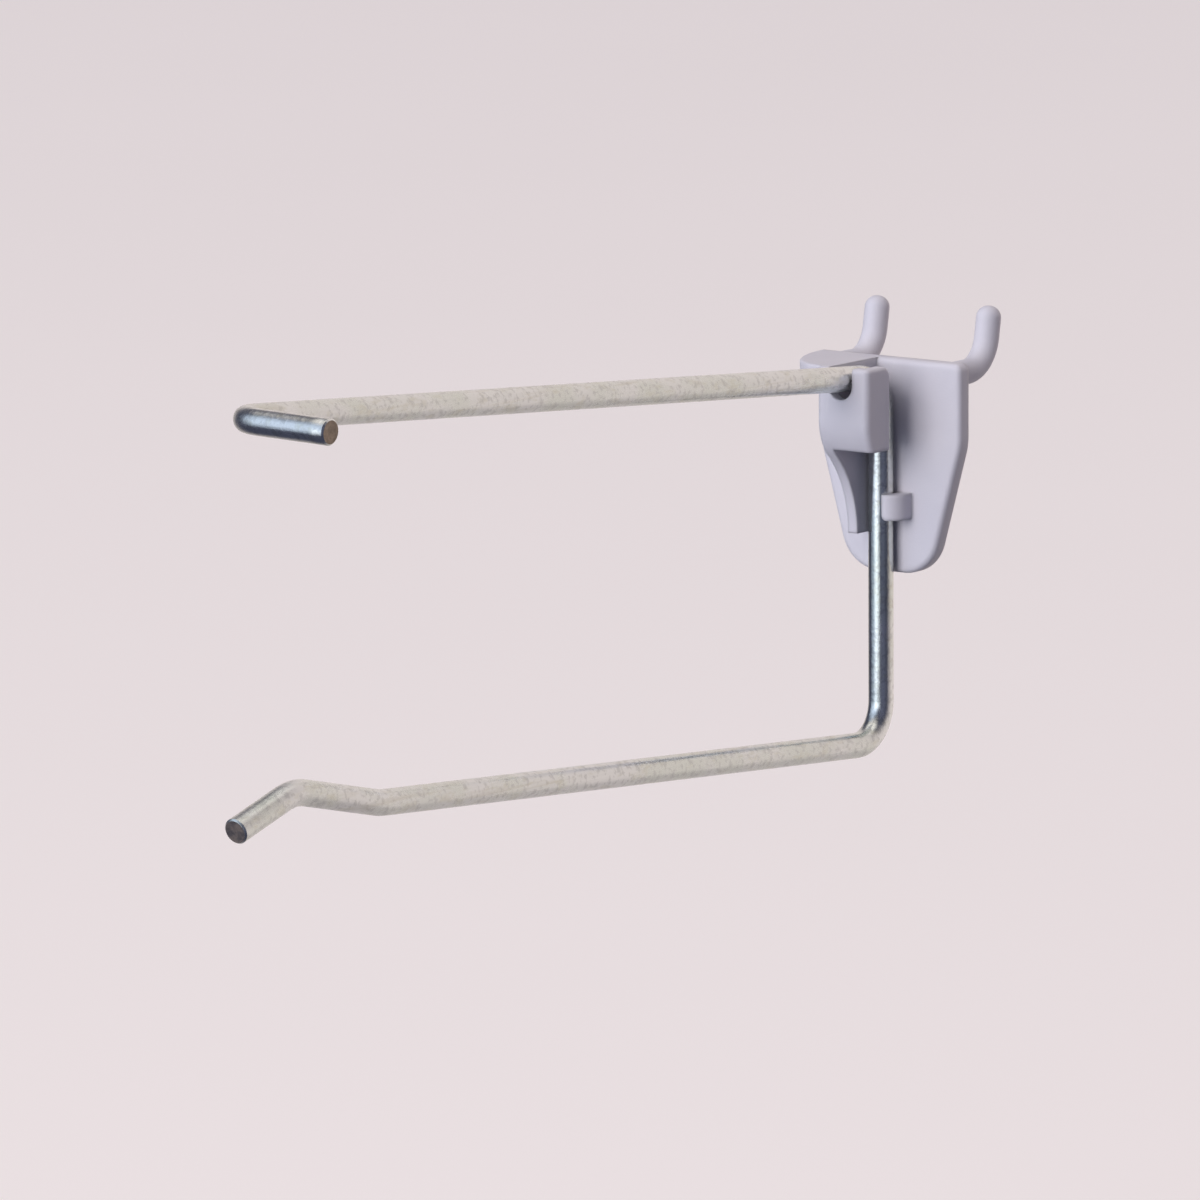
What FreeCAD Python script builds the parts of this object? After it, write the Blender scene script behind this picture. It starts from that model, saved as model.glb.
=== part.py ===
import FreeCAD, Part
import os
import Sketcher
from FreeCAD import Vector

# Pegboard display hook: one bent steel wire with two arms, snapped into a moulded back
# that hangs by two upturned pegs.
#
# Frame, in millimetres: X to the right, Z up, the pegs towards +Y and the arms towards -Y.
# The origin lies midway between the two peg axes, in the flat back face.

DIMENSIONS = [
    ("wire_dia", 4.76, "diameter of the wire, 3/16 in"),
    ("fit_gap", 0.1, "clearance between the wire and the faces that seat it"),
    ("arm_height", -0.84, "upper arm's axis above the peg axes, where it meets the back run"),
    ("arm_drop", 69.24, "from the upper arm's axis down to the lower arm's, at the back run"),
    ("arm_reach", 200.6, "from the back face to the axis of the crossbar"),
    ("upper_rise", 4.64, "slope of the upper arm, in degrees"),
    ("lower_rise", 4.3, "slope of the lower arm, in degrees"),
    ("corner_bend", 7.5, "bend radius of the two back corners, at the wire's axis"),
    ("bar_bend", 6.0, "bend radius from the upper arm to the crossbar"),
    ("bar_length", 21.45, "from the upper arm's axis to the crossbar's cut end"),
    ("bar_droop", 1.6, "how far the crossbar leans down, in degrees"),
    ("dip_reach", 160.0, "from the back face to the foot of the nose"),
    ("nose_run", 24.5, "from the foot of the nose forwards to its crest"),
    ("tip_run", 16.6, "from the crest forwards to the lower arm's cut end"),
    ("nose_rise", 13.1, "slope up to the crest, in degrees"),
    ("nose_fall", 15.8, "slope down from the crest, in degrees"),
    ("dip_bend", 17.0, "bend radius at the foot of the nose"),
    ("crest_bend", 12.0, "bend radius at the crest"),
    ("wire_chamfer", 0.3, "broken edge of the two cut ends"),
    ("plate_thickness", 3.0, "thickness of the back plate"),
    ("plate_half", 16.1, "half the plate's width above its shoulders"),
    ("plate_top", 2.35, "top of the plate, hood and wing"),
    ("shoulder_z", -13.05, "height at which the plate begins to narrow"),
    ("foot_half", 9.16, "half the plate's width at its foot"),
    ("plate_bottom", -38.0, "bottom of the plate"),
    ("top_round", 1.5, "radius of the plate's free top corner"),
    ("shoulder_round", 12.0, "radius of the plate's shoulders"),
    ("foot_round", 8.0, "radius of the plate's lower corners"),
    ("plate_edge", 1.0, "rounding of the plate's front edge"),
    ("side_gap", 0.32, "room beside the wire in the hood and its notch"),
    ("side_wall", 2.1, "thickness of the hood's two side walls"),
    ("front_wall", 2.5, "thickness of the hood's front wall"),
    ("return_offset", 1.4, "from the notch's side to the return wall's inner face"),
    ("return_rear", 11.2, "from the back face to the rear edge of the return wall"),
    ("return_round", 2.0, "radius of the return wall's rear top corner"),
    ("hood_front", 18.7, "from the back face to the hood's front face"),
    ("hood_bottom", -13.35, "bottom of the hood"),
    ("hood_corner", 1.2, "radius of the hood's front right corner"),
    ("hood_edge", 0.7, "rounding of the hood's top edges"),
    ("notch_drop", 1.5, "from the underside of the arm to the floor of the notch"),
    ("bearer_depth", 3.5, "thickness of the bearer, from its rear face to its front"),
    ("wing_half", 17.1, "from the middle of the plate to the wing's outermost point"),
    ("wing_front", 17.7, "from the back face to the front end of the wing"),
    ("wing_edge", 0.3, "broken top edge of the wing"),
    ("wing_thickness", 4.0, "thickness of the wing"),
    ("gusset_foot", 9.3, "from the back face to the gusset's lower front corner"),
    ("gusset_bottom", -30.2, "bottom of the gusset"),
    ("shoulder_height", -7.75, "height at which the hood's front begins to turn back"),
    ("shoulder_turn", 10.0, "radius with which the hood's front turns back"),
    ("clip_top", -22.65, "top of the snap clip"),
    ("clip_height", 4.8, "height of the snap clip"),
    ("clip_root", 2.87, "thickness of the clip beside the wire"),
    ("clip_tip", 1.0, "thickness of the clip's lip in front of the wire"),
    ("lip_bite", 0.45, "how far the lip reaches over the side of the wire"),
    ("clip_round", 1.0, "rounding of the clip's lower edge"),
    ("peg_pitch", 25.4, "distance between the pegs, 1 in"),
    ("peg_dia", 4.7, "diameter of the pegs"),
    ("peg_straight", 4.0, "level length of a peg behind the plate"),
    ("peg_bend", 7.0, "bend radius of a peg, at its axis"),
    ("peg_turn", 80.0, "how far a peg turns up, in degrees"),
    ("peg_rise", 5.9, "straight length of a peg above its bend"),
    ("peg_dome", 2.25, "rounding of a peg's tip"),
]

# Heights and reaches that several features share, as expressions on the sheet.
WIRE_RADIUS = "(dims.wire_dia / 2)"
BACK_AXIS = "(dims.plate_thickness + dims.fit_gap + dims.wire_dia / 2)"
LOWER_HEIGHT = "(dims.arm_height - dims.arm_drop)"
CREST_REACH = "(dims.dip_reach + dims.nose_run)"
TIP_REACH = f"({CREST_REACH} + dims.tip_run)"
DIP_HEIGHT = f"({LOWER_HEIGHT} + (dims.dip_reach - {BACK_AXIS}) * tan(dims.lower_rise))"
CREST_HEIGHT = f"({DIP_HEIGHT} + dims.nose_run * tan(dims.nose_rise))"
TIP_HEIGHT = f"({CREST_HEIGHT} - dims.tip_run * tan(dims.nose_fall))"
SPLICE_HEIGHT = f"({LOWER_HEIGHT} + dims.arm_drop / 2)"
SPLICE_REACH = "(dims.arm_reach / 2)"
CHANNEL_HALF = "(dims.wire_dia / 2 + dims.side_gap)"
HOOD_LEFT = f"({CHANNEL_HALF} + dims.side_wall)"
RETURN_INNER = f"({CHANNEL_HALF} + dims.return_offset)"
HOOD_RIGHT = f"({RETURN_INNER} + dims.side_wall)"
SEAT_RADIUS = "(dims.wire_dia / 2 + dims.fit_gap)"
LIP_X = "(dims.wire_dia / 2 - dims.lip_bite)"
LIP_REACH = f"({BACK_AXIS} + sqrt(({SEAT_RADIUS})^2 - ({LIP_X})^2))"
CLIP_OUTER = f"({SEAT_RADIUS} + dims.clip_root)"
CLIP_FRONT = f"({LIP_REACH} + dims.clip_tip)"
INSIDE_PLATE = "(dims.plate_thickness / 2)"

# How close a found edge or face lies to the place it is looked for.
NEAR = 0.02

doc = FreeCAD.newDocument("pegboard_hook")
sheet = doc.addObject("Spreadsheet::Sheet", "dims")
for row, (alias, size, meaning) in enumerate(DIMENSIONS, start=1):
    sheet.set(f"A{row}", alias)
    sheet.set(f"B{row}", str(size))
    sheet.setAlias(f"B{row}", alias)
    sheet.set(f"C{row}", meaning)
doc.recompute()


def number(expression):
    """The value of an expression on the sheet."""
    result = sheet.evalExpression(expression)
    return float(getattr(result, "Value", result))


def origin_plane(body, role):
    """One of the body's own origin planes."""
    return next(feature for feature in body.Origin.OriginFeatures if feature.Role == role)


def new_sketch(body, name, role, offset=None):
    """A sketch on an origin plane, moved along the plane's normal by an expression."""
    sketch = body.newObject("Sketcher::SketchObject", name)
    sketch.AttachmentSupport = [(origin_plane(body, role), "")]
    sketch.MapMode = "FlatFace"
    if offset:
        sketch.setExpression("AttachmentOffset.Base.z", offset)
    return sketch


def hold(sketch, kind, geometry, end, expression):
    """Hold one coordinate of a point of the sketch at an expression."""
    constraint = Sketcher.Constraint(kind, -1, 1, geometry, end, number(expression))
    index = sketch.addConstraint(constraint)
    label = f"{kind}_{geometry}_{end}"
    sketch.renameConstraint(index, label)
    sketch.setExpression(f"Constraints.{label}", expression)


def pin(sketch, geometry, end, corner):
    """Hold a point of the sketch at a pair of expressions."""
    hold(sketch, "DistanceX", geometry, end, corner[0])
    hold(sketch, "DistanceY", geometry, end, corner[1])


def set_radius(sketch, geometry, expression):
    """Hold the radius of a circle or an arc at an expression."""
    index = sketch.addConstraint(Sketcher.Constraint("Radius", geometry, number(expression)))
    sketch.renameConstraint(index, f"Radius_{geometry}")
    sketch.setExpression(f"Constraints.Radius_{geometry}", expression)


def add_lines(sketch, corners):
    """Straight lines from corner to corner, each corner held by its expressions."""
    points = [Vector(number(x), number(y), 0) for x, y in corners]
    lines = [sketch.addGeometry(Part.LineSegment(start, end), False)
             for start, end in zip(points, points[1:])]
    for first, second in zip(lines, lines[1:]):
        sketch.addConstraint(Sketcher.Constraint("Coincident", first, 2, second, 1))
    pin(sketch, lines[0], 1, corners[0])
    for line, corner in zip(lines, corners[1:]):
        pin(sketch, line, 2, corner)
    return lines


def add_outline(sketch, corners):
    """A closed outline of straight lines."""
    lines = add_lines(sketch, corners)
    closing = sketch.addGeometry(Part.LineSegment(sketch.getPoint(lines[-1], 2),
                                                  sketch.getPoint(lines[0], 1)), False)
    join(sketch, lines[-1], 2, closing, 1)
    join(sketch, closing, 2, lines[0], 1)
    return lines + [closing]


def join(sketch, first, first_end, second, second_end):
    """Make two end points one."""
    sketch.addConstraint(Sketcher.Constraint("Coincident", first, first_end, second, second_end))


def add_rounded_path(sketch, corners, radii):
    """An open path whose inner corners are rounded by tangent arcs."""
    lines = add_lines(sketch, corners)
    points = [Vector(number(x), number(y), 0) for x, y in corners]
    for index, radius in enumerate(radii):
        before, corner, after = points[index:index + 3]
        sketch.fillet(lines[index], lines[index + 1], (before + corner) / 2, (corner + after) / 2,
                      number(radius), True, True)
        arc = sketch.GeometryCount - 2
        set_radius(sketch, arc, radius)


def add_arc(sketch, centre, start, end):
    """A circular arc, counter-clockwise from start to end, for joining to pinned lines.

    The lines fix both its ends, so the height of its centre is all that is left to hold.
    """
    middle = Vector(number(centre[0]), number(centre[1]), 0)
    first = Vector(number(start[0]), number(start[1]), 0)
    last = Vector(number(end[0]), number(end[1]), 0)
    circle = Part.Circle(middle, Vector(0, 0, 1), (first - middle).Length)
    arc = sketch.addGeometry(Part.ArcOfCircle(circle, circle.parameter(first),
                                              circle.parameter(last)), False)
    hold(sketch, "DistanceY", arc, 3, centre[1])
    return arc


def add_ellipse_arc(sketch, centre, side, end, tall):
    """An arc of an upright ellipse, from its side vertex to a point; tall is its half-height."""
    middle = Vector(number(centre[0]), number(centre[1]), 0)
    vertex = Vector(number(side[0]), number(side[1]), 0)
    last = Vector(number(end[0]), number(end[1]), 0)
    crown = middle + Vector(0, number(tall), 0)
    ellipse = Part.Ellipse(crown, vertex, middle)
    arc = sketch.addGeometry(Part.ArcOfEllipse(ellipse, ellipse.parameter(vertex),
                                               ellipse.parameter(last)), False)
    sketch.exposeInternalGeometry(arc)
    sketch.addConstraint(Sketcher.Constraint("Vertical", arc + 1))
    pin(sketch, arc, 3, centre)
    return arc


def add_circle(sketch, centre, radius):
    """A circle with a pinned centre and radius."""
    middle = Vector(number(centre[0]), number(centre[1]), 0)
    circle = sketch.addGeometry(Part.Circle(middle, Vector(0, 0, 1), number(radius)), False)
    pin(sketch, circle, 3, centre)
    set_radius(sketch, circle, radius)


def add_pad(body, name, sketch, length):
    """Pad a sketch backwards along its normal."""
    feature = body.newObject("PartDesign::Pad", name)
    feature.Profile = sketch
    feature.setExpression("Length", length)
    feature.Reversed = True
    return feature


def add_pipe(body, name, profile, path):
    """Sweep a profile sketch along a path sketch."""
    feature = body.newObject("PartDesign::AdditivePipe", name)
    feature.Profile = profile
    feature.Spine = path
    doc.recompute()
    return feature


def edges_at(feature, points):
    """Names of the feature's edges whose middles lie at the given points."""
    names = []
    for index, edge in enumerate(feature.Shape.Edges, start=1):
        if any((edge.CenterOfMass - point).Length < NEAR for point in points):
            names.append(f"Edge{index}")
    if len(names) != len(points):
        raise ValueError(f"{feature.Name}: {len(names)} edges found for {len(points)} points")
    return names


def add_fillet(body, name, feature, edges, radius):
    """Round edges of the body's last feature."""
    rounding = body.newObject("PartDesign::Fillet", name)
    rounding.Base = (feature, edges)
    rounding.setExpression("Radius", radius)
    doc.recompute()
    return rounding


def add_chamfer(body, name, feature, edges, size):
    """Break edges of the body's last feature."""
    chamfer = body.newObject("PartDesign::Chamfer", name)
    chamfer.Base = (feature, edges)
    chamfer.setExpression("Size", size)
    doc.recompute()
    return chamfer


def build_wire():
    """The bent wire: lower arm with its nose, back run, upper arm and crossbar."""
    body = doc.addObject("PartDesign::Body", "wire_hook")
    body.Label = "wire_hook"

    splice = new_sketch(body, "back_section", "XY_Plane", SPLICE_HEIGHT)
    add_circle(splice, ("0", f"-{BACK_AXIS}"), WIRE_RADIUS)

    lower_path = new_sketch(body, "lower_path", "YZ_Plane")
    add_rounded_path(lower_path, [
        (f"-{BACK_AXIS}", SPLICE_HEIGHT),
        (f"-{BACK_AXIS}", LOWER_HEIGHT),
        ("-dims.dip_reach", DIP_HEIGHT),
        (f"-{CREST_REACH}", CREST_HEIGHT),
        (f"-{TIP_REACH}", TIP_HEIGHT),
    ], ["dims.corner_bend", "dims.dip_bend", "dims.crest_bend"])
    add_pipe(body, "lower_run", splice, lower_path)

    upper_path = new_sketch(body, "upper_path", "YZ_Plane")
    arm_at_splice = f"dims.arm_height + ({SPLICE_REACH} - {BACK_AXIS}) * tan(dims.upper_rise)"
    add_rounded_path(upper_path, [
        (f"-{BACK_AXIS}", SPLICE_HEIGHT),
        (f"-{BACK_AXIS}", "dims.arm_height"),
        (f"-{SPLICE_REACH}", arm_at_splice),
    ], ["dims.corner_bend"])
    add_pipe(body, "upper_run", splice, upper_path)

    # The arm and the crossbar lie in a plane that rises with the arm and leans with the bar.
    arm_foot = f"vector(0; -{BACK_AXIS}; dims.arm_height)"
    arm_section = new_sketch(body, "arm_section", "XZ_Plane")
    arm_section.setExpression("AttachmentOffset", (
        f"placement(vector(0; {arm_at_splice}; {SPLICE_REACH});"
        " rotation(vector(1; 0; 0); -dims.upper_rise))"))
    add_circle(arm_section, ("0", "0"), WIRE_RADIUS)

    bar_path = new_sketch(body, "bar_path", "XY_Plane")
    bar_path.setExpression("AttachmentOffset", (
        f"placement({arm_foot}; rotation(vector(1; 0; 0); -dims.upper_rise)"
        " * rotation(vector(0; 1; 0); dims.bar_droop))"))
    splice_run = f"({SPLICE_REACH} - {BACK_AXIS}) / cos(dims.upper_rise)"
    arm_run = f"(dims.arm_reach - {BACK_AXIS}) / cos(dims.upper_rise)"
    add_rounded_path(bar_path, [
        ("0", f"-{splice_run}"),
        ("0", f"-{arm_run}"),
        ("dims.bar_length", f"-{arm_run}"),
    ], ["dims.bar_bend"])
    bar_run = add_pipe(body, "bar_run", arm_section, bar_path)

    cut_ends = [Vector(0, -number(TIP_REACH), number(TIP_HEIGHT)),
                bar_path.Placement.multVec(Vector(number("dims.bar_length"), -number(arm_run), 0))]
    body.Tip = add_chamfer(body, "cut_ends", bar_run, edges_at(bar_run, cut_ends),
                           "dims.wire_chamfer")
    return body


def build_plate(body):
    """The flat plate with its shoulders, rounded foot and rounded front edge."""
    outline = new_sketch(body, "plate_outline", "XZ_Plane")
    add_outline(outline, [
        ("-dims.plate_half", "dims.plate_top"),
        ("dims.plate_half", "dims.plate_top"),
        ("dims.plate_half", "dims.shoulder_z"),
        ("dims.foot_half", "dims.plate_bottom"),
        ("-dims.foot_half", "dims.plate_bottom"),
        ("-dims.plate_half", "dims.shoulder_z"),
    ])
    plate = body.newObject("PartDesign::Pad", "plate")
    plate.Profile = outline
    plate.setExpression("Length", "dims.plate_thickness")
    doc.recompute()

    middle = -number(INSIDE_PLATE)
    half, foot = number("dims.plate_half"), number("dims.foot_half")
    top, shoulder = number("dims.plate_top"), number("dims.shoulder_z")
    bottom = number("dims.plate_bottom")
    shoulders = [Vector(side * half, middle, shoulder) for side in (-1, 1)]
    feet = [Vector(side * foot, middle, bottom) for side in (-1, 1)]
    corner = [Vector(half, middle, top)]
    rounded = add_fillet(body, "shoulders", plate, edges_at(plate, shoulders),
                         "dims.shoulder_round")
    rounded = add_fillet(body, "foot_corners", rounded, edges_at(rounded, feet),
                         "dims.foot_round")
    rounded = add_fillet(body, "top_corner", rounded, edges_at(rounded, corner),
                         "dims.top_round")
    front = -number("dims.plate_thickness")
    face = next(f"Face{index}" for index, face in enumerate(rounded.Shape.Faces, start=1)
                if abs(face.CenterOfMass.y - front) < NEAR)
    return add_fillet(body, "front_edge", rounded, [face], "dims.plate_edge")


def build_hood(body):
    """The hood's front wall, which turns back at its foot, and its return wall."""
    centre_reach = "(dims.hood_front - dims.shoulder_turn)"
    inner_front = "(dims.hood_front - dims.front_wall)"
    inner_turn = "(dims.shoulder_turn - dims.front_wall)"
    drop = "(dims.shoulder_height - dims.hood_bottom)"
    outer_foot = f"({centre_reach} + sqrt(dims.shoulder_turn^2 - {drop}^2))"
    inner_foot = f"({centre_reach} + sqrt({inner_turn}^2 - {drop}^2))"
    front_side = new_sketch(body, "front_wall_side", "YZ_Plane", HOOD_RIGHT)
    foot = add_lines(front_side, [(f"-{outer_foot}", "dims.hood_bottom"),
                                  (f"-{inner_foot}", "dims.hood_bottom")])
    faces = add_lines(front_side, [
        (f"-{inner_front}", "dims.shoulder_height"),
        (f"-{inner_front}", "dims.plate_top"),
        ("-dims.hood_front", "dims.plate_top"),
        ("-dims.hood_front", "dims.shoulder_height"),
    ])
    centre = (f"-{centre_reach}", "dims.shoulder_height")
    outer = add_arc(front_side, centre, ("-dims.hood_front", "dims.shoulder_height"),
                    (f"-{outer_foot}", "dims.hood_bottom"))
    inner = add_arc(front_side, centre, (f"-{inner_front}", "dims.shoulder_height"),
                    (f"-{inner_foot}", "dims.hood_bottom"))
    join(front_side, faces[-1], 2, outer, 1)
    join(front_side, outer, 2, foot[0], 1)
    join(front_side, foot[0], 2, inner, 2)
    join(front_side, inner, 1, faces[0], 1)
    add_pad(body, "front_wall", front_side, f"{HOOD_RIGHT} + {CHANNEL_HALF}")

    return_plan = new_sketch(body, "return_plan", "XY_Plane", "dims.plate_top")
    add_outline(return_plan, [
        (RETURN_INNER, f"-{inner_front}"),
        (HOOD_RIGHT, f"-{inner_front}"),
        (HOOD_RIGHT, "-dims.return_rear"),
        (RETURN_INNER, "-dims.return_rear"),
    ])
    hood = add_pad(body, "return_wall", return_plan, "dims.plate_top - dims.hood_bottom")
    doc.recompute()

    right, limit = number(HOOD_RIGHT), -number(inner_front)
    front_corner = [f"Edge{index}" for index, edge in enumerate(hood.Shape.Edges, start=1)
                    if all(abs(end.X - right) < NEAR and end.Y < limit - NEAR
                           for end in edge.Vertexes)]
    hood = add_fillet(body, "hood_corner", hood, front_corner, "dims.hood_corner")
    rear_corner = Vector(number(f"({HOOD_RIGHT} + {RETURN_INNER}) / 2"),
                         -number("dims.return_rear"), number("dims.plate_top"))
    add_fillet(body, "return_corner", hood, edges_at(hood, [rear_corner]), "dims.return_round")


def build_wing(body):
    """The wing to the left of the hood, a quarter ellipse in plan."""
    wing_plan = new_sketch(body, "wing_plan", "XY_Plane", "dims.plate_top")
    wing_sides = add_lines(wing_plan, [
        (f"-{HOOD_LEFT}", "-dims.wing_front"),
        (f"-{HOOD_LEFT}", "0"),
        ("-dims.wing_half", "0"),
    ])
    wing_edge = add_ellipse_arc(wing_plan, (f"-{HOOD_LEFT}", "0"), ("-dims.wing_half", "0"),
                                (f"-{HOOD_LEFT}", "-dims.wing_front"), "-dims.wing_front")
    join(wing_plan, wing_sides[-1], 2, wing_edge, 1)
    join(wing_plan, wing_edge, 2, wing_sides[0], 1)
    add_pad(body, "wing", wing_plan, "dims.wing_thickness")


def build_left_wall(body):
    """The left wall of the hood, which runs on below it as a gusset.

    Its front edge leaves the hood's face upright, turns back with one arc and runs into a second
    that ends upright at the gusset's foot. Both arcs touch, so the second radius follows.
    """
    depth, drop = "(dims.hood_front - dims.gusset_foot)", "(dims.shoulder_height - dims.gusset_bottom)"
    sweep = f"(({depth}^2 + {drop}^2) / (2 * {depth}) - dims.shoulder_turn)"
    side = new_sketch(body, "left_wall_side", "YZ_Plane", f"-{CHANNEL_HALF}")
    edges = add_lines(side, [
        ("-dims.gusset_foot", "dims.gusset_bottom"),
        (f"-{INSIDE_PLATE}", "dims.gusset_bottom"),
        (f"-{INSIDE_PLATE}", "dims.plate_top"),
        ("-dims.hood_front", "dims.plate_top"),
        ("-dims.hood_front", "dims.shoulder_height"),
    ])
    start = Vector(-number("dims.hood_front"), number("dims.shoulder_height"), 0)
    foot = Vector(-number("dims.gusset_foot"), number("dims.gusset_bottom"), 0)
    upper = start + Vector(number("dims.shoulder_turn"), 0, 0)
    lower = foot - Vector(number(sweep), 0, 0)
    touch = upper + (lower - upper).normalize() * number("dims.shoulder_turn")
    arcs = []
    for centre, first, last in ((upper, start, touch), (lower, foot, touch)):
        circle = Part.Circle(centre, Vector(0, 0, 1), (first - centre).Length)
        arc = Part.ArcOfCircle(circle, circle.parameter(first), circle.parameter(last))
        arcs.append(side.addGeometry(arc, False))
    shoulder, bow = arcs
    side.addConstraint(Sketcher.Constraint("Tangent", edges[-1], 2, shoulder, 1))
    side.addConstraint(Sketcher.Constraint("Tangent", shoulder, 2, bow, 2))
    set_radius(side, shoulder, "dims.shoulder_turn")
    join(side, bow, 1, edges[0], 1)
    hold(side, "DistanceY", bow, 3, "dims.gusset_bottom")
    add_pad(body, "left_wall", side, "dims.side_wall")
    doc.recompute()


def cut_notch(body):
    """The open-topped notch in the hood's front wall, through which the upper arm leaves."""
    arm_at_front = f"(dims.arm_height + (dims.hood_front - {BACK_AXIS}) * tan(dims.upper_rise))"
    round_centre = f"({arm_at_front} - dims.wire_dia / 2 - dims.notch_drop + {CHANNEL_HALF})"
    notch_shape = new_sketch(body, "notch_shape", "XZ_Plane", "dims.hood_front + dims.front_wall")
    sides = add_lines(notch_shape, [
        (CHANNEL_HALF, round_centre),
        (CHANNEL_HALF, "dims.plate_top + dims.front_wall"),
        (f"-{CHANNEL_HALF}", "dims.plate_top + dims.front_wall"),
        (f"-{CHANNEL_HALF}", round_centre),
    ])
    floor = add_arc(notch_shape, ("0", round_centre),
                    (f"-{CHANNEL_HALF}", round_centre), (CHANNEL_HALF, round_centre))
    join(notch_shape, sides[-1], 2, floor, 1)
    join(notch_shape, floor, 2, sides[0], 1)
    before = body.Shape.Volume
    notch = body.newObject("PartDesign::Pocket", "notch")
    notch.Profile = notch_shape
    notch.setExpression("Length", "2 * dims.front_wall")
    doc.recompute()
    if body.Shape.Volume >= before:
        raise ValueError("the notch cut nothing")
    return notch


def ease_top_edges(body, notch):
    """Round the hood's top edges on both sides of the notch and break the wing's."""
    front, top = -number("dims.hood_front"), number("dims.plate_top")
    left = -number(f"({CHANNEL_HALF} + {HOOD_LEFT}) / 2")
    right = number(f"({CHANNEL_HALF} + {HOOD_RIGHT} - dims.hood_corner) / 2")
    edges = edges_at(notch, [Vector(left, front, top), Vector(right, front, top)])
    hood = add_fillet(body, "hood_top_edges", notch, edges, "dims.hood_edge")
    bow = [f"Edge{index}" for index, edge in enumerate(hood.Shape.Edges, start=1)
           if isinstance(edge.Curve, Part.Ellipse) and abs(edge.CenterOfMass.z - top) < NEAR]
    add_chamfer(body, "wing_top_edge", hood, bow, "dims.wing_edge")


def build_bearer(body):
    """The rib inside the wire's upper bend, which carries the load."""
    bend_reach = f"({BACK_AXIS} + dims.corner_bend)"
    bend_height = ("(dims.arm_height + dims.corner_bend * tan(dims.upper_rise)"
                   " - dims.corner_bend / cos(dims.upper_rise))")
    seat = "(dims.corner_bend - dims.wire_dia / 2 - dims.fit_gap)"
    rear = f"({bend_reach} - {seat})"
    front = f"({rear} + dims.bearer_depth)"
    crown = f"({bend_height} + sqrt({seat}^2 - ({seat} - dims.bearer_depth)^2))"
    start = f"({CHANNEL_HALF} + {HOOD_LEFT}) / 2"
    bearer_side = new_sketch(body, "bearer_side", "YZ_Plane", f"-{start}")
    sides = add_lines(bearer_side, [
        (f"-{front}", crown),
        (f"-{front}", "dims.hood_bottom"),
        (f"-{rear}", "dims.hood_bottom"),
        (f"-{rear}", bend_height),
    ])
    saddle = add_arc(bearer_side, (f"-{bend_reach}", bend_height),
                     (f"-{rear}", bend_height), (f"-{front}", crown))
    join(bearer_side, sides[-1], 2, saddle, 1)
    join(bearer_side, saddle, 2, sides[0], 1)
    bearer = add_pad(body, "bearer", bearer_side, f"{start} + {WIRE_RADIUS}")
    bearer.Reversed = False
    doc.recompute()


def build_clip(body):
    """The snap clip: a jaw that follows the wire and ends in a lip in front of it."""
    nose_radius = f"({CLIP_OUTER} - {LIP_X})"
    nose_centre = f"-({CLIP_FRONT} - {nose_radius})"
    clip_plan = new_sketch(body, "clip_plan", "XY_Plane", "dims.clip_top")
    root = add_lines(clip_plan, [
        (CLIP_OUTER, nose_centre),
        (CLIP_OUTER, f"-{INSIDE_PLATE}"),
        (SEAT_RADIUS, f"-{INSIDE_PLATE}"),
        (SEAT_RADIUS, f"-{BACK_AXIS}"),
    ])
    lip = add_lines(clip_plan, [(LIP_X, f"-{LIP_REACH}"), (LIP_X, f"-{CLIP_FRONT}")])
    seat = add_arc(clip_plan, ("0", f"-{BACK_AXIS}"),
                   (LIP_X, f"-{LIP_REACH}"), (SEAT_RADIUS, f"-{BACK_AXIS}"))
    outer = add_arc(clip_plan, (LIP_X, nose_centre),
                    (LIP_X, f"-{CLIP_FRONT}"), (CLIP_OUTER, nose_centre))
    join(clip_plan, root[-1], 2, seat, 2)
    join(clip_plan, seat, 1, lip[0], 1)
    join(clip_plan, lip[0], 2, outer, 1)
    join(clip_plan, outer, 2, root[0], 1)
    clip = add_pad(body, "clip", clip_plan, "dims.clip_height")
    doc.recompute()

    bottom = number("dims.clip_top - dims.clip_height")
    lip_edge = Vector(number(LIP_X), -number(f"({LIP_REACH} + {CLIP_FRONT}) / 2"), bottom)
    add_fillet(body, "clip_corner", clip, edges_at(clip, [lip_edge]), "dims.clip_round")


def build_pegs(body):
    """Two pegs that leave the back face level, turn up and end in domed tips."""
    elbow = "(dims.peg_straight + dims.peg_bend * tan(dims.peg_turn / 2))"
    reach = "(dims.peg_bend * tan(dims.peg_turn / 2) + dims.peg_rise)"
    tip = (f"({elbow} + {reach} * cos(dims.peg_turn))", f"({reach} * sin(dims.peg_turn))")
    peg_path = new_sketch(body, "peg_path", "YZ_Plane", "dims.peg_pitch / 2")
    add_rounded_path(peg_path, [(f"-{INSIDE_PLATE}", "0"), (elbow, "0"), tip],
                     ["dims.peg_bend"])
    peg_section = new_sketch(body, "peg_section", "XZ_Plane", INSIDE_PLATE)
    add_circle(peg_section, ("dims.peg_pitch / 2", "0"), "dims.peg_dia / 2")
    peg = add_pipe(body, "peg", peg_section, peg_path)

    pair = body.newObject("PartDesign::Mirrored", "peg_pair")
    pair.Originals = [peg]
    pair.MirrorPlane = (origin_plane(body, "YZ_Plane"), [""])
    body.Tip = pair
    doc.recompute()
    half_pitch = number("dims.peg_pitch / 2")
    tips = [Vector(side * half_pitch, number(tip[0]), number(tip[1])) for side in (-1, 1)]
    add_fillet(body, "peg_tips", pair, edges_at(pair, tips), "dims.peg_dome")


def check_model(bodies):
    """Stop if a feature failed or a body isn't one valid solid."""
    for item in doc.Objects:
        if "Invalid" in item.State or "Error" in item.State:
            raise ValueError(f"{item.Name} failed: {item.State}")
    for body in bodies:
        shape = body.Shape
        if shape.isNull() or not shape.isValid() or len(shape.Solids) != 1:
            raise ValueError(f"{body.Label} isn't one valid solid")


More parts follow.
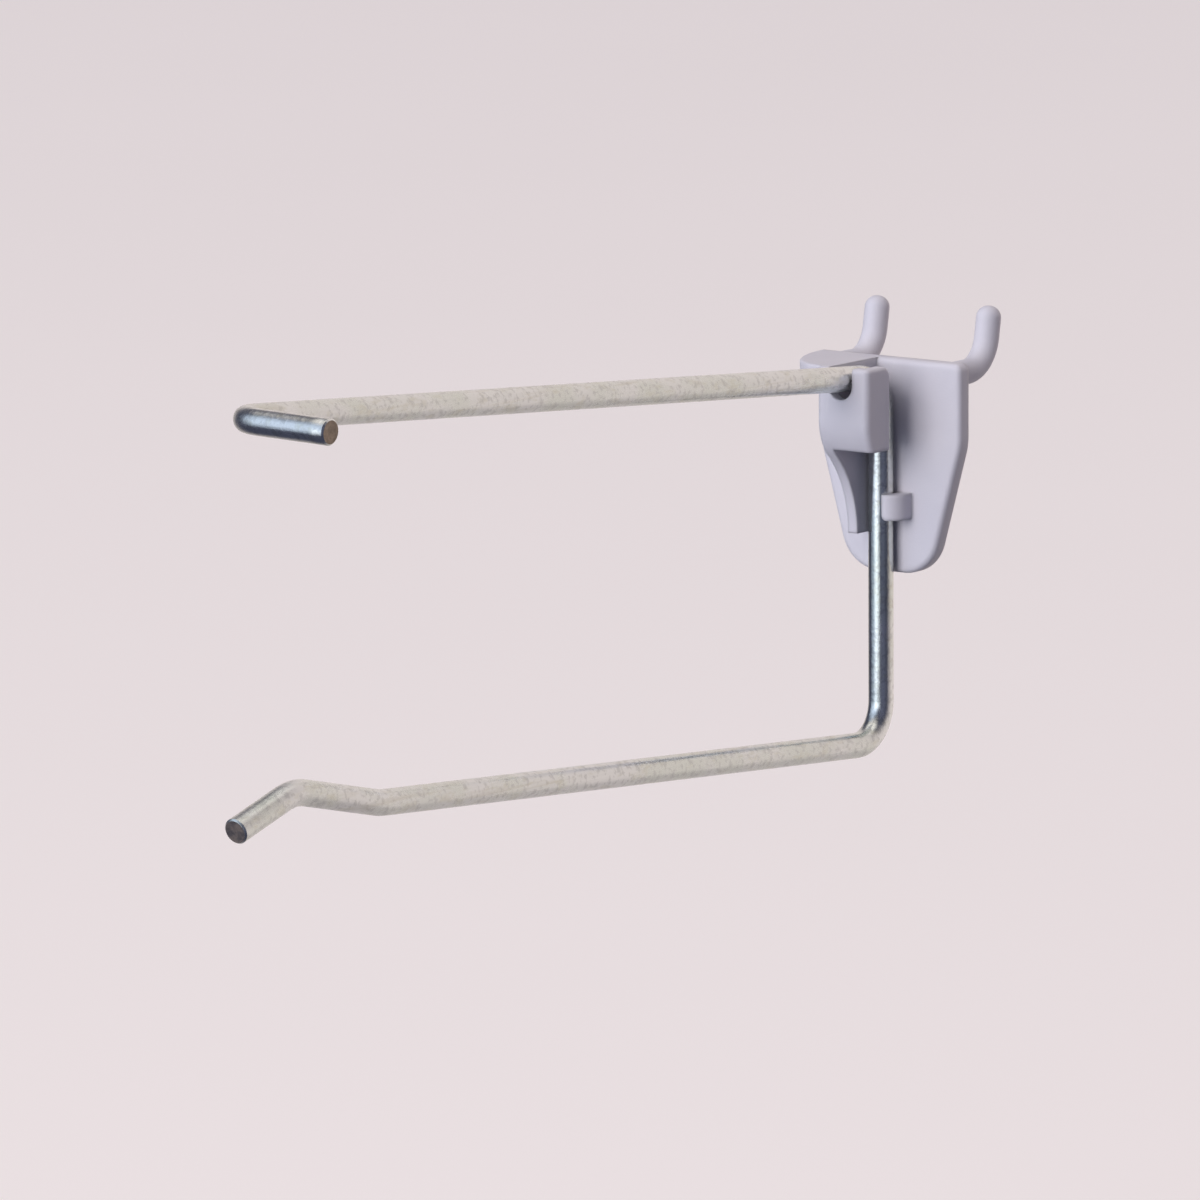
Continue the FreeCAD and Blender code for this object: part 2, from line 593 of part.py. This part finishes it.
wire_hook = build_wire()
peg_backplate = doc.addObject("PartDesign::Body", "peg_backplate")
peg_backplate.Label = "peg_backplate"
build_plate(peg_backplate)
build_hood(peg_backplate)
build_wing(peg_backplate)
build_left_wall(peg_backplate)
ease_top_edges(peg_backplate, cut_notch(peg_backplate))
build_bearer(peg_backplate)
build_clip(peg_backplate)
build_pegs(peg_backplate)
doc.recompute()
check_model([wire_hook, peg_backplate])

os.makedirs("parts", exist_ok=True)
for piece in (wire_hook, peg_backplate):
    piece.Shape.exportStep(f"parts/{piece.Label}.step")
    print(f"{piece.Label}: {piece.Shape.Volume:.1f} mm3, {len(piece.Shape.Faces)} faces")
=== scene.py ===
import math

import bpy
from mathutils import Matrix, Vector

# Display hook: a zinc plated wire seated in a light grey moulded back. The wire and the moulding
# are the solids themselves; this script gives them their surfaces, the light and the camera.
# Lengths are in metres, angles in degrees and colours in linear light.

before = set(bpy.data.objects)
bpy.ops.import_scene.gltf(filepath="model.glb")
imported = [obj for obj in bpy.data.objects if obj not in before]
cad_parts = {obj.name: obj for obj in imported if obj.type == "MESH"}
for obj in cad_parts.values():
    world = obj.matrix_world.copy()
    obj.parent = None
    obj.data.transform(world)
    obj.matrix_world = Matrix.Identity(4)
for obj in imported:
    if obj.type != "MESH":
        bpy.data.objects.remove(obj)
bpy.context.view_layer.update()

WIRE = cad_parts["wire_hook"]
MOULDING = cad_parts["peg_backplate"]

# The camera: its place, the axes of its picture and its lens.
CAMERA_PLACE = (1.19408, -1.71399, 0.29816)
PICTURE_RIGHT = (0.80542, 0.59269, -0.00491)
PICTURE_DOWN = (0.09179, -0.13291, -0.98687)
VIEW_LINE = (-0.58556, 0.79439, -0.16145)
LENS_MM = 338.6
SENSOR_MM = 36.0
CLIP_NEAR, CLIP_FAR = 0.1, 100.0

# The two cut ends of the wire: a point on each cut face and the way it faces. A face belongs to
# an end when it faces that way and lies within the wire's radius and a little more.
CROSSBAR_END = (Vector((0.02144, -0.20065, 0.01440)), Vector((0.99961, -0.00226, -0.02783)))
TIP_END = (Vector((0.0, -0.20110, -0.05746)), Vector((0.0, -0.96222, -0.27228)))
CUT_FACING, CUT_REACH = 0.99, 0.0027

# Where the wire's runs change over: the back run in y, the crossbar in x.
BACK_START, BACK_FULL = -0.012, -0.009
BAR_START, BAR_FULL = 0.003, 0.006

# Where the shears rolled the crossbar's end in, and how deep.
ROLL_START, ROLL_END, ROLL_DEPTH = 0.0184, 0.0217, 0.00038

# Patterns, in noise cells to the metre.
LINES_FINE, LINES_BROAD = 2600.0, 700.0
ZINC_CLOUDS, ZINC_SPANGLE, ZINC_DAPPLE = 90.0, 620.0, 850.0
STEEL_GRAIN, STEEL_PATCHES = 2200.0, 620.0
PLASTIC_CLOUDS, PLASTIC_GRAIN, PLASTIC_SCUFFS = 70.0, 3800.0, 900.0
FLOOR_MOTTLE = 3.0

# Bump heights, the zinc's shares of them, the radii that soften edges, and how far worn edges
# reach and how far the painted shade in recesses reaches.
WIRE_BUMP, STEEL_BUMP, PLASTIC_BUMP = 0.000012, 0.00008, 0.00003
BROAD_SHARE, DAPPLE_SHARE = 2.2, 4.5
WIRE_EDGE, PLASTIC_EDGE, EDGE_SAMPLES = 0.0001, 0.0011, 8
WORN_REACH, PAINTED_SHADE_REACH = 0.0004, 0.004

ZINC = {
    "dull": (0.685, 0.72, 0.66, 1.0),
    "bright": (0.77, 0.785, 0.76, 1.0),
    "olive": (0.62, 0.62, 0.52, 1.0),
    "grey": (0.52, 0.53, 0.51, 1.0),
    "streak": (0.54, 0.52, 0.43, 1.0),
}
STEEL = {
    "brown": (0.30, 0.245, 0.215, 1.0),
    "dark": (0.155, 0.135, 0.135, 1.0),
    # painted warm light: the brown cast given to the crossbar's cut face, which faces the warm
    # side
    "warm_light_cast": (0.46, 0.36, 0.24, 1.0),
}
PLASTIC = {
    "dull": (0.585, 0.565, 0.625, 1.0),
    "light": (0.63, 0.605, 0.66, 1.0),
    "pit": (0.47, 0.48, 0.54, 1.0),
    "scuff": (0.69, 0.67, 0.70, 1.0),
    "worn": (0.70, 0.69, 0.71, 1.0),
    # painted shade: the dark navy that the plastic is darkened towards in recesses and creases
    "painted_recess_shade": (0.20, 0.20, 0.27, 1.0),
}
FLOOR = {"dull": (0.89, 0.835, 0.82, 1.0), "light": (0.91, 0.855, 0.84, 1.0)}
BACKGROUND = (0.83, 0.76, 0.765, 1.0)

FLOOR_HEIGHT = -0.2
FLOOR_HALF = 12.0
FLOOR_GLOW = 0.085

# The key lamp: azimuth from -Y towards +X and elevation, the angles that it spans, its distance.
KEY_PLACE, KEY_SPREAD, KEY_DISTANCE = (-3.0, 17.0), (31.0, 42.0), 6.0
KEY_POWER, KEY_COLOUR = 282.0, (1.0, 0.955, 0.925)

# The studio, by the direction (x, y, z) in which it lies: a pale wall that sets in with y, falls
# off towards its foot with z, and ends where z - WALL_RISE * y - WALL_SLANT * x passes WALL_EDGE.
DIM_ROOM = (0.062, 0.066, 0.105)
PALE_ROOM = (0.775, 0.68, 0.63)
WALL_START, WALL_FULL = -0.05, 0.85
FOOT_LOW, FOOT_HIGH, FOOT_SHARE = -0.62, -0.3, 0.72
WALL_RISE, WALL_SLANT, WALL_EDGE = 0.85, 0.5, 0.293
FADE_BELOW, FADE_ABOVE, OVER_WALL = 0.06, 0.16, 0.12

# Panels of the studio: azimuth and elevation, the angles from there at which a panel begins and
# ceases to fade, how fast it fades, and the colour that it adds.
PANELS = [
    ((-30.0, 20.0), 12.0, 47.0, 1.2, (0.70, 0.82, 1.02)),
    ((-2.0, -3.0), 0.0, 38.0, 2.6, (1.36, 1.44, 1.56)),
    ((50.0, 5.0), 8.0, 34.0, 1.0, (0.065, 0.07, 0.10)),
    ((0.0, 90.0), 15.0, 46.0, 1.5, (1.25, 1.18, 1.12)),
]


def new_tree(name):
    """A material and its empty node tree."""
    material = bpy.data.materials.new(name)
    material.use_nodes = True
    tree = material.node_tree
    tree.nodes.clear()
    return material, tree


def feed(tree, socket, value):
    """Link a socket to another node's output, or set it to a plain value."""
    if isinstance(value, bpy.types.NodeSocket):
        tree.links.new(value, socket)
    else:
        socket.default_value = value


def add(tree, kind, inputs=None, **settings):
    """A node with its settings and its inputs: plain values, or outputs to link."""
    node = tree.nodes.new(kind)
    for key, value in settings.items():
        setattr(node, key, value)
    for key, value in (inputs or {}).items():
        feed(tree, node.inputs[key], value)
    return node


def maths(tree, operation, first, second):
    """The output of a Math node."""
    return add(tree, "ShaderNodeMath", {0: first, 1: second}, operation=operation).outputs[0]


def ramp(tree, value, low, high, out_low=0.0, out_high=1.0):
    """A value mapped smoothly from one range to another, held at its ends."""
    return add(tree, "ShaderNodeMapRange", {
        "Value": value, "From Min": low, "From Max": high,
        "To Min": out_low, "To Max": out_high}, interpolation_type="SMOOTHSTEP").outputs["Result"]


def blend(tree, factor, first, second):
    """Two colours mixed by a factor."""
    mix = add(tree, "ShaderNodeMix", {0: factor, 6: first, 7: second}, data_type="RGBA")
    return mix.outputs[2]


def layered(tree, ground, layers):
    """A colour under layers: pattern, where it sets in and is full, its share, its colour."""
    for pattern, start, full, share, colour in layers:
        ground = blend(tree, ramp(tree, pattern, start, full, 0.0, share), ground, colour)
    return ground


def noise(tree, place, scale, detail=2.0, roughness=0.5):
    """A noise value between 0 and 1 at a place."""
    return add(tree, "ShaderNodeTexNoise", {
        "Vector": place, "Scale": scale, "Detail": detail, "Roughness": roughness}).outputs["Fac"]


def stretched(tree, place, factors):
    """Coordinates multiplied by three factors, to draw a pattern out along one axis."""
    return add(tree, "ShaderNodeVectorMath", {0: place, 1: factors},
               operation="MULTIPLY").outputs["Vector"]


def axis(tree, place, name):
    """One coordinate of a place or a direction."""
    return add(tree, "ShaderNodeSeparateXYZ", {"Vector": place}).outputs[name]


def dot(tree, first, second):
    """The dot product of two vectors."""
    return add(tree, "ShaderNodeVectorMath", {0: first, 1: second},
               operation="DOT_PRODUCT").outputs["Value"]


def worn_edges(tree, reach):
    """1 along the edges that handling has burnished and 0 on the faces."""
    rounded = add(tree, "ShaderNodeBevel", {"Radius": reach}, samples=EDGE_SAMPLES)
    true = add(tree, "ShaderNodeNewGeometry").outputs["Normal"]
    return ramp(tree, dot(tree, rounded.outputs["Normal"], true), 0.99, 0.90)


def finish_surface(tree, colour, roughness, metallic, bump_height, bump_distance, edge_radius):
    """The principled shader with its softened edges, bump and output."""
    soft_edges = add(tree, "ShaderNodeBevel", {"Radius": edge_radius}, samples=EDGE_SAMPLES)
    bump = add(tree, "ShaderNodeBump", {
        "Height": bump_height, "Strength": 1.0, "Distance": bump_distance,
        "Normal": soft_edges.outputs["Normal"]})
    shader = add(tree, "ShaderNodeBsdfPrincipled", {
        "Base Color": colour, "Roughness": roughness, "Metallic": metallic,
        "Normal": bump.outputs["Normal"]})
    add(tree, "ShaderNodeOutputMaterial", {"Surface": shader.outputs["BSDF"]})


def drawing_lines(tree, place, on_back, on_bar):
    """A function that makes lines of a given scale and detail along each run of the wire."""
    along_arms = stretched(tree, place, (1.0, 0.02, 1.0))
    along_back = stretched(tree, place, (1.0, 1.0, 0.02))
    along_bar = stretched(tree, place, (0.03, 1.0, 1.0))

    def lines(scale, detail):
        arms, back, bar = (noise(tree, run, scale, detail)
                           for run in (along_arms, along_back, along_bar))
        both = add(tree, "ShaderNodeMix", {0: on_back, 2: arms, 3: back}).outputs[0]
        return add(tree, "ShaderNodeMix", {0: on_bar, 2: both, 3: bar}).outputs[0]

    return lines


def zinc_wire():
    """Bright zinc plate over drawn wire, with drawing lines that follow each run."""
    material, tree = new_tree("zinc_wire")
    place = add(tree, "ShaderNodeTexCoord").outputs["Object"]
    on_back = ramp(tree, axis(tree, place, "Y"), BACK_START, BACK_FULL)
    on_bar = ramp(tree, axis(tree, place, "X"), BAR_START, BAR_FULL)
    lines = drawing_lines(tree, place, on_back, on_bar)
    fine, broad = lines(LINES_FINE, 3.0), lines(LINES_BROAD, 2.0)
    clouds = noise(tree, place, ZINC_CLOUDS, 3.0)
    spangle = noise(tree, stretched(tree, place, (1.0, 0.4, 1.0)), ZINC_SPANGLE, 3.0, 0.6)
    dapple = noise(tree, place, ZINC_DAPPLE, 3.0, 0.6)
    ground = blend(tree, ramp(tree, clouds, 0.35, 0.65), ZINC["dull"], ZINC["bright"])
    zinc = layered(tree, ground, (
        (spangle, 0.50, 0.70, 0.55, ZINC["olive"]),
        (dapple, 0.50, 0.64, 0.6, ZINC["grey"]),
        (broad, 0.58, 0.74, 0.35, ZINC["streak"])))
    roughness = maths(tree, "ADD", ramp(tree, fine, 0.3, 0.7, 0.15, 0.22),
                      ramp(tree, clouds, 0.3, 0.7, 0.0, 0.08))
    # Goods and labels rub on the arms, so the back run and the crossbar keep more gloss.
    sheltered = maths(tree, "MAXIMUM", on_back, on_bar)
    roughness = maths(tree, "ADD", roughness, ramp(tree, sheltered, 0.0, 1.0, 0.06, 0.0))
    height = maths(tree, "ADD", fine, maths(tree, "MULTIPLY", broad, BROAD_SHARE))
    height = maths(tree, "ADD", height, maths(tree, "MULTIPLY", dapple, DAPPLE_SHARE))
    rolled = ramp(tree, axis(tree, place, "X"), ROLL_START, ROLL_END, 0.0,
                  -ROLL_DEPTH / WIRE_BUMP)
    height = maths(tree, "ADD", height, rolled)
    finish_surface(tree, zinc, roughness, 1.0, height, WIRE_BUMP, WIRE_EDGE)
    return material


def cut_steel():
    """Bare sheared steel on the wire's cut ends, grained, with painted warm light that makes the
    crossbar's end browner.
    """
    material, tree = new_tree("cut_steel")
    place = add(tree, "ShaderNodeTexCoord").outputs["Object"]
    grain = noise(tree, place, STEEL_GRAIN, 4.0, 0.65)
    patches = noise(tree, place, STEEL_PATCHES, 2.0)
    ground = blend(tree, ramp(tree, patches, 0.35, 0.65), STEEL["brown"], STEEL["dark"])
    # Painted warm light: the cut face at the crossbar's end, towards +X, is tinted brown as the
    # warm light from that side would show it.
    steel = layered(tree, ground, ((axis(tree, place, "X"), 0.0, 0.02, 0.5, STEEL["warm_light_cast"]),))
    roughness = ramp(tree, grain, 0.3, 0.7, 0.45, 0.7)
    finish_surface(tree, steel, roughness, 0.7, grain, STEEL_BUMP, WIRE_EDGE)
    return material


def grey_plastic():
    """Light blue grey moulded plastic with a fine eroded texture, faint scuffs and painted shade
    in its recesses.
    """
    material, tree = new_tree("grey_plastic")
    place = add(tree, "ShaderNodeTexCoord").outputs["Object"]
    clouds = noise(tree, place, PLASTIC_CLOUDS, 3.0)
    grain = noise(tree, place, PLASTIC_GRAIN, 3.0, 0.6)
    scuffs = noise(tree, stretched(tree, place, (1.0, 1.0, 0.12)), PLASTIC_SCUFFS, 2.0)
    worn = worn_edges(tree, WORN_REACH)
    # Painted shade: ambient occlusion darkens the colour towards a dark navy in recesses and
    # creases, standing in for the shadow there.
    painted_recess_shade = add(tree, "ShaderNodeAmbientOcclusion", {"Distance": PAINTED_SHADE_REACH},
                 samples=EDGE_SAMPLES, only_local=True).outputs["AO"]
    ground = blend(tree, ramp(tree, clouds, 0.3, 0.7), PLASTIC["dull"], PLASTIC["light"])
    colour = layered(tree, ground, (
        (grain, 0.6, 0.8, 0.25, PLASTIC["pit"]),
        (scuffs, 0.68, 0.78, 0.3, PLASTIC["scuff"])))
    colour = blend(tree, maths(tree, "MULTIPLY", worn, 0.35), colour, PLASTIC["worn"])
    # Painted shade laid into the recesses.
    colour = layered(tree, colour, ((painted_recess_shade, 0.5, 0.0, 0.18, PLASTIC["painted_recess_shade"]),))
    roughness = maths(tree, "ADD", ramp(tree, grain, 0.3, 0.7, 0.42, 0.5),
                      ramp(tree, clouds, 0.3, 0.7, 0.0, 0.08))
    roughness = maths(tree, "SUBTRACT", roughness, maths(tree, "MULTIPLY", worn, 0.12))
    finish_surface(tree, colour, roughness, 0.0, grain, PLASTIC_BUMP, PLASTIC_EDGE)
    return material


def pale_floor():
    """A plain pale floor under the hook."""
    material, tree = new_tree("pale_floor")
    place = add(tree, "ShaderNodeTexCoord").outputs["Object"]
    colour = blend(tree, noise(tree, place, FLOOR_MOTTLE), FLOOR["dull"], FLOOR["light"])
    shader = add(tree, "ShaderNodeBsdfDiffuse", {"Color": colour})
    seen = add(tree, "ShaderNodeLightPath").outputs["Is Camera Ray"]
    glow = add(tree, "ShaderNodeEmission", {
        "Color": BACKGROUND, "Strength": maths(tree, "MULTIPLY", seen, FLOOR_GLOW)})
    both = add(tree, "ShaderNodeAddShader", {0: shader.outputs["BSDF"], 1: glow.outputs[0]})
    add(tree, "ShaderNodeOutputMaterial", {"Surface": both.outputs["Shader"]})
    return material


def dress_wire():
    """Zinc on the wire and bare steel on its two cut faces."""
    WIRE.data.materials.clear()
    WIRE.data.materials.append(zinc_wire())
    WIRE.data.materials.append(cut_steel())
    for face in WIRE.data.polygons:
        for point, outward in (CROSSBAR_END, TIP_END):
            faces_out = face.normal.dot(outward) > CUT_FACING
            if faces_out and (face.center - point).length < CUT_REACH:
                face.material_index = 1


def dress_moulding():
    """Grey plastic on the moulded back."""
    MOULDING.data.materials.clear()
    MOULDING.data.materials.append(grey_plastic())


def add_floor():
    """The floor, below the hook and wide enough for every view."""
    corners = [(x * FLOOR_HALF, y * FLOOR_HALF, FLOOR_HEIGHT)
               for x, y in ((-1, -1), (1, -1), (1, 1), (-1, 1))]
    mesh = bpy.data.meshes.new("floor")
    mesh.from_pydata(corners, [], [(0, 1, 2, 3)])
    floor = bpy.data.objects.new("floor", mesh)
    floor.data.materials.append(pale_floor())
    floor.visible_glossy = False
    floor.visible_diffuse = False
    bpy.context.scene.collection.objects.link(floor)


def direction(azimuth, elevation):
    """The way to a light: azimuth from -Y towards +X and elevation."""
    turn, lift = math.radians(azimuth), math.radians(elevation)
    return Vector((math.sin(turn) * math.cos(lift), -math.cos(turn) * math.cos(lift),
                   math.sin(lift)))


def panel(tree, way, place, inner, outer, fade):
    """A round soft light in the world: 1 within the inner angle, 0 beyond the outer."""
    share = add(tree, "ShaderNodeMapRange", {
        "Value": dot(tree, way, direction(*place)),
        "From Min": math.cos(math.radians(outer)),
        "From Max": math.cos(math.radians(inner))}).outputs["Result"]
    return maths(tree, "POWER", share, fade)


def plus(tree, total, factor, colour):
    """A colour added to a total by a factor."""
    share = add(tree, "ShaderNodeVectorMath", {0: colour, "Scale": factor}, operation="SCALE")
    return add(tree, "ShaderNodeVectorMath", {0: total, 1: share.outputs["Vector"]},
               operation="ADD").outputs["Vector"]


def light_world():
    """A studio that is pale behind the hook, with its panels in front, beside and above."""
    world = bpy.data.worlds.new("studio")
    bpy.context.scene.world = world
    world.use_nodes = True
    tree = world.node_tree
    tree.nodes.clear()
    way = add(tree, "ShaderNodeTexCoord").outputs["Generated"]
    behind = ramp(tree, axis(tree, way, "Y"), WALL_START, WALL_FULL)
    foot = ramp(tree, axis(tree, way, "Z"), FOOT_LOW, FOOT_HIGH, FOOT_SHARE, 1.0)
    over = dot(tree, way, (-WALL_SLANT, -WALL_RISE, 1.0))
    top = ramp(tree, over, WALL_EDGE - FADE_BELOW, WALL_EDGE + FADE_ABOVE, 1.0, OVER_WALL)
    pale = maths(tree, "MULTIPLY", maths(tree, "MULTIPLY", behind, top), foot)
    light = plus(tree, DIM_ROOM, pale, PALE_ROOM)
    for place, inner, outer, fade, colour in PANELS:
        light = plus(tree, light, panel(tree, way, place, inner, outer, fade), colour)
    seen = add(tree, "ShaderNodeLightPath").outputs["Is Camera Ray"]
    light = blend(tree, seen, light, BACKGROUND)
    shader = add(tree, "ShaderNodeBackground", {"Color": light, "Strength": 1.0})
    add(tree, "ShaderNodeOutputWorld", {"Surface": shader.outputs["Background"]})


def add_key():
    """A broad soft lamp in front, for the shadows; the world shows it to the metal."""
    lamp = bpy.data.lights.new("key", "AREA")
    lamp.shape = "RECTANGLE"
    lamp.energy = KEY_POWER
    lamp.color = KEY_COLOUR
    lamp.size, lamp.size_y = (2.0 * KEY_DISTANCE * math.tan(math.radians(angle / 2.0))
                              for angle in KEY_SPREAD)
    holder = bpy.data.objects.new("key", lamp)
    holder.location = direction(*KEY_PLACE) * KEY_DISTANCE
    holder.rotation_euler = direction(*KEY_PLACE).to_track_quat("Z", "Y").to_euler()
    holder.visible_glossy = False
    bpy.context.scene.collection.objects.link(holder)


def add_camera():
    """The camera of the photograph."""
    camera = bpy.data.cameras.new("camera")
    camera.lens = LENS_MM
    camera.sensor_width = SENSOR_MM
    camera.clip_start, camera.clip_end = CLIP_NEAR, CLIP_FAR
    holder = bpy.data.objects.new("camera", camera)
    turn = Matrix((PICTURE_RIGHT, -Vector(PICTURE_DOWN), -Vector(VIEW_LINE))).transposed()
    holder.matrix_world = Matrix.Translation(CAMERA_PLACE) @ turn.to_4x4()
    bpy.context.scene.collection.objects.link(holder)
    bpy.context.scene.camera = holder


dress_wire()
dress_moulding()
add_floor()
light_world()
add_key()
add_camera()

bpy.context.scene.view_settings.view_transform = "Standard"
